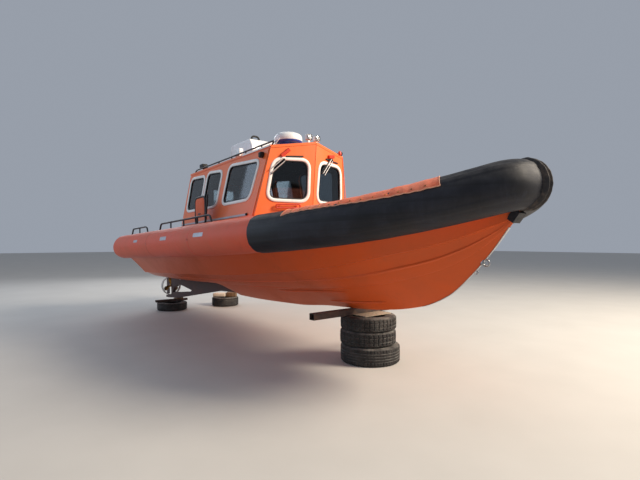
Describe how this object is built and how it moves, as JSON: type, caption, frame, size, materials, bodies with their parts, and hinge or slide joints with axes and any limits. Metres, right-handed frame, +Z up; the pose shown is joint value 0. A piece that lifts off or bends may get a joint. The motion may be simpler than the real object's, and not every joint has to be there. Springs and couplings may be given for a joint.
{
  "type": "inshore rescue boat",
  "caption": "Rigid V-hull rescue boat with an inflated collar tube and an enclosed wheelhouse, standing on tyres and beams.",
  "frame": {"origin": "centre of the bounding box in plan, on the ground under the tyres", "axes": "+X towards the bow, +Y to port, +Z up; the boat is trimmed 2.05 degrees bow up on its supports"},
  "size_m": [8.0403, 2.508, 2.8633],
  "materials": {
    "hull_paint": "glossy orange gelcoat",
    "collar": "satin orange coated fabric",
    "sheath": "scuffed black rubber",
    "cabin_paint": "satin orange paint",
    "canvas": "wrinkled orange canvas",
    "glass": "clear, darkened by the inside",
    "white_plastic": "white, slightly weathered",
    "black_metal": "black coated tube",
    "cap_plastic": "grey-white end cap",
    "dash": "dark textured",
    "seat": "dark grey marine vinyl",
    "engine": "grey paint",
    "antifouling": "matt dark brown",
    "steel": "weathered",
    "bronze": "worn",
    "tyre": "dusty used tyre",
    "rust": "rusty steel beam",
    "wood": "rough sawn, weathered"
  },
  "bodies": {
    "boat": {"hull": "hull_paint", "tube_starboard": "collar", "tube_port": "collar", "tube_bow": "collar", "tube_cap_starboard": "cap_plastic", "tube_cap_port": "cap_plastic", "bow_sheath": "sheath", "nose_strip": "sheath", "stem_pad": "sheath", "foredeck_cover": "canvas", "cabin_side_starboard": "cabin_paint", "cabin_side_port": "cabin_paint", "cabin_front_starboard": "cabin_paint", "cabin_front_port": "cabin_paint", "cabin_roof": "cabin_paint", "cabin_back": "cabin_paint", "windscreen_starboard": "glass", "windscreen_port": "glass", "radar_dome": "white_plastic", "roof_box": "white_plastic", "roof_lamp_1": "white_plastic", "roof_lamp_2": "white_plastic", "roof_rail_starboard": "black_metal", "roof_rail_port": "black_metal", "side_rail_starboard": "black_metal", "side_rail_port": "black_metal", "stern_rail_starboard": "black_metal", "stern_rail_port": "black_metal", "back_board": "canvas", "engine": "engine", "console": "dash", "helm_seat": "seat", "crew_seat": "seat", "passenger_seat_starboard": "seat", "passenger_seat_port": "seat", "skeg": "antifouling", "guard_ring": "steel", "bow_eye": "steel", "tyre_front_1": "tyre", "tyre_front_2": "tyre", "tyre_front_3": "tyre", "tyre_rear_starboard": "tyre", "tyre_rear_port": "tyre", "beam_front": "rust", "beam_rear": "rust", "block_rear": "wood", "chock_front": "wood", "window_starboard_1": "glass", "window_starboard_2": "glass", "window_starboard_3": "glass", "window_port_1": "glass", "window_port_2": "glass", "window_port_3": "glass"},
    "cabin_door": {"cabin_door": "cabin_paint", "door_window": "glass"},
    "engine_lid": {"engine_lid": "hull_paint"},
    "helm_wheel": {"helm_wheel": "black_metal"},
    "propeller": {"propeller": "bronze"},
    "rudder": {"rudder": "antifouling"}
  },
  "joints": [
    {"name": "door_swing", "type": "hinge", "parent": "boat", "child": "cabin_door", "pos_m": [-1.3458, -0.32, 1.6957], "axis": [-0.0358, 0, 0.9994], "range_deg": [0, 100]},
    {"name": "lid_lift", "type": "hinge", "parent": "boat", "child": "engine_lid", "pos_m": [-2.028, 0, 1.3551], "axis": [0, 1, 0], "range_deg": [0, 75]},
    {"name": "helm_turn", "type": "hinge", "parent": "boat", "child": "helm_wheel", "pos_m": [0.3794, -0.4, 1.6924], "axis": [0.9208, 0, -0.3899], "range_deg": [-540, 540]},
    {"name": "propeller_spin", "type": "hinge", "parent": "boat", "child": "propeller", "pos_m": [-3.7537, 0, 0.4488], "axis": [0.9994, 0, 0.0358], "continuous": true},
    {"name": "rudder_turn", "type": "hinge", "parent": "boat", "child": "rudder", "pos_m": [-3.919, 0, 0.4529], "axis": [-0.0358, 0, 0.9994], "range_deg": [-35, 35]}
  ],
  "couplings": [
    {"joint": "rudder_turn", "follows": "helm_turn", "ratio": 0.0648}
  ]
}
